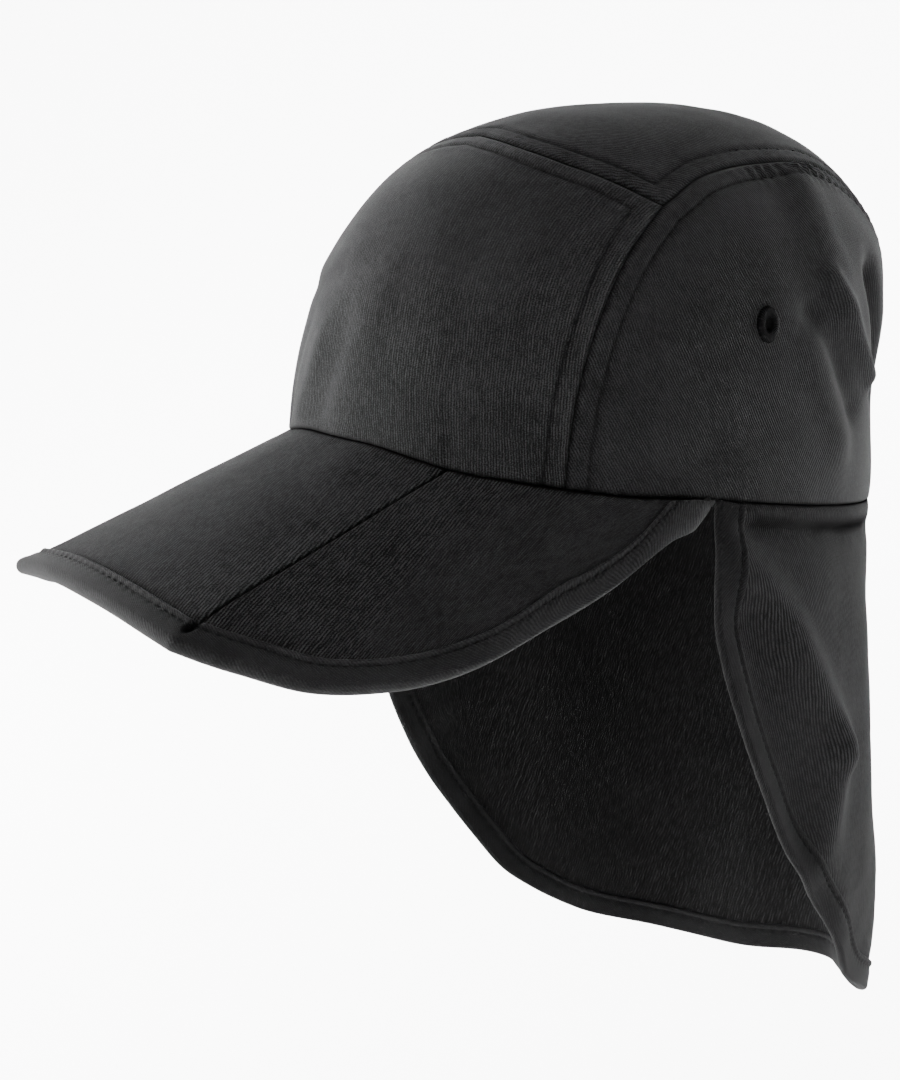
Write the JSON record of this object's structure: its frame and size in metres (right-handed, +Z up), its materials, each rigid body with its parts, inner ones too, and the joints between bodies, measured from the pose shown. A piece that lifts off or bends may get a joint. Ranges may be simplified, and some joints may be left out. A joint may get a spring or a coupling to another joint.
{
  "type": "legionnaire cap",
  "caption": "Soft cotton sun cap with a four panel crown, a long peak that folds in three and a bound flap that covers the neck and ears.",
  "frame": {"origin": "middle of the head opening, on the plane of the tipped rim, where the cap sits on a head", "axes": "+Z up as worn, the peak towards -Y, the wearer's left towards +X; the flap hangs straight down along -Z"},
  "size_m": [0.1799, 0.3028, 0.3237],
  "materials": {
    "crown_twill": "washed charcoal cotton twill, soft and matte",
    "peak_twill": "washed charcoal cotton twill over a soft board",
    "flap_twill": "washed charcoal cotton twill, soft and matte",
    "binding": "bias cut cotton twill tape, stitched along its inner edge",
    "eyelet_thread": "dark embroidery thread with a low sheen"
  },
  "bodies": {
    "root": {"front_panel": "crown_twill", "top_panel": "crown_twill", "side_panel_left": "crown_twill", "side_panel_right": "crown_twill", "eyelet_left": "eyelet_thread", "eyelet_right": "eyelet_thread", "peak_centre": "peak_twill", "peak_side_left": "peak_twill", "peak_side_right": "peak_twill", "peak_binding": "binding", "neck_flap": "flap_twill", "flap_binding": "binding"}
  },
  "joints": []
}
